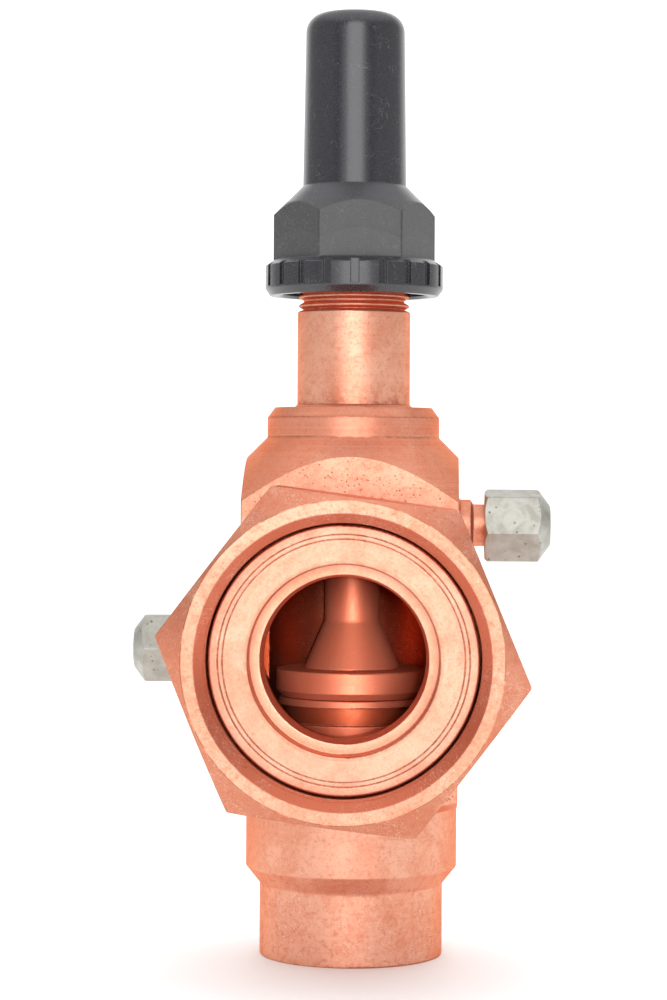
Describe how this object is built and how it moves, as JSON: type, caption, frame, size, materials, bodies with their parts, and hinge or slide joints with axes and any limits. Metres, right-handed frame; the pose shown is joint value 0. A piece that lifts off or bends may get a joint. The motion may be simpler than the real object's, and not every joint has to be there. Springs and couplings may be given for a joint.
{
  "type": "three way service valve",
  "caption": "Angle service valve with a union nut port, a tube socket, capped gauge and pressure ports and a capped stem that opens or shuts it.",
  "frame": {"origin": "centre of the tube socket's mouth, on the stem's axis", "axes": "+Z along the stem to the seal cap, -Y out of the union nut port, +X out of the gauge port"},
  "size_m": [0.0904, 0.0859, 0.2049],
  "materials": {
    "body_copper": "copper plated, machined",
    "neck_copper": "copper plated, machined",
    "spigot_copper": "copper plated, machined",
    "nut_copper": "copper plated, machined",
    "seat_copper": "copper plated, machined",
    "disc_copper": "copper plated, machined",
    "stem_copper": "copper plated, machined",
    "fitting_copper": "copper plated, machined",
    "braze": "copper filler metal",
    "spring_steel": "bright",
    "plain_steel": "turned",
    "plain_brass": "turned",
    "graphite_packing": "pressed graphite",
    "black_plastic": "moulded, satin",
    "gasket_rubber": "plain",
    "plated_cap": "dull zinc plate"
  },
  "bodies": {
    "valve": {"valve_body": "body_copper", "bonnet": "neck_copper", "neck_braze": "braze", "port_spigot": "spigot_copper", "spigot_braze": "braze", "seat_ring": "seat_copper", "packing_washer": "plain_steel", "stem_packing": "graphite_packing", "gland_nut": "plain_brass", "gauge_port_fitting": "fitting_copper", "gauge_port_braze": "braze", "pressure_port_fitting": "fitting_copper", "pressure_port_braze": "braze", "core_body": "plain_brass", "core_spring": "spring_steel"},
    "union_nut": {"rotalock_nut": "nut_copper"},
    "disc": {"valve_disc": "disc_copper"},
    "stem": {"stem": "stem_copper", "disc_clip": "spring_steel"},
    "cap_gasket": {"cap_gasket": "gasket_rubber"},
    "seal_cap": {"seal_cap": "black_plastic"},
    "gauge_cap_gasket": {"gauge_cap_gasket": "gasket_rubber"},
    "gauge_cap": {"gauge_port_cap": "plated_cap"},
    "pressure_cap_gasket": {"pressure_cap_gasket": "gasket_rubber"},
    "pressure_cap": {"pressure_port_cap": "plated_cap"},
    "core_pin": {"core_pin": "plain_brass", "core_seal": "gasket_rubber"}
  },
  "joints": [
    {"name": "union_nut_turn", "type": "hinge", "parent": "valve", "child": "union_nut", "pos_m": [0, -0.05, 0.0676], "axis": [0, -1, 0], "continuous": true},
    {"name": "stem_lift", "type": "slide", "parent": "valve", "child": "disc", "axis": [0, 0, 1], "range_m": [0, 0.0214]},
    {"name": "stem_turn", "type": "hinge", "parent": "disc", "child": "stem", "pos_m": [0, 0, 0.1], "axis": [0, 0, 1], "range_deg": [0, 3852.1]},
    {"name": "seal_cap_lift", "type": "slide", "parent": "valve", "child": "cap_gasket", "axis": [0, 0, 1], "range_m": [0, 0.068]},
    {"name": "seal_cap_turn", "type": "hinge", "parent": "cap_gasket", "child": "seal_cap", "pos_m": [0, 0, 0.17], "axis": [0, 0, 1], "range_deg": [0, 12240.1]},
    {"name": "gauge_cap_lift", "type": "slide", "parent": "valve", "child": "gauge_cap_gasket", "axis": [1, 0, 0], "range_m": [0, 0.0127]},
    {"name": "gauge_cap_turn", "type": "hinge", "parent": "gauge_cap_gasket", "child": "gauge_cap", "pos_m": [0.0357, 0, 0.0933], "axis": [1, 0, 0], "range_deg": [0, 3600.1]},
    {"name": "pressure_cap_lift", "type": "slide", "parent": "valve", "child": "pressure_cap_gasket", "axis": [-1, 0, 0], "range_m": [0, 0.0127]},
    {"name": "pressure_cap_turn", "type": "hinge", "parent": "pressure_cap_gasket", "child": "pressure_cap", "pos_m": [-0.0403, 0, 0.0661], "axis": [-1, 0, 0], "range_deg": [0, 3600.1]},
    {"name": "core_pin_press", "type": "slide", "parent": "valve", "child": "core_pin", "axis": [1, 0, 0], "range_m": [0, 0.0008], "stiffness_N_per_m": 1000, "springref_m": -0.002, "deforming": ["core_spring"]}
  ],
  "couplings": [
    {"joint": "stem_turn", "follows": "stem_lift", "rad_per_m": 3141.6},
    {"joint": "seal_cap_turn", "follows": "seal_cap_lift", "rad_per_m": 3141.6},
    {"joint": "gauge_cap_turn", "follows": "gauge_cap_lift", "rad_per_m": 4947.4},
    {"joint": "pressure_cap_turn", "follows": "pressure_cap_lift", "rad_per_m": 4947.4}
  ]
}
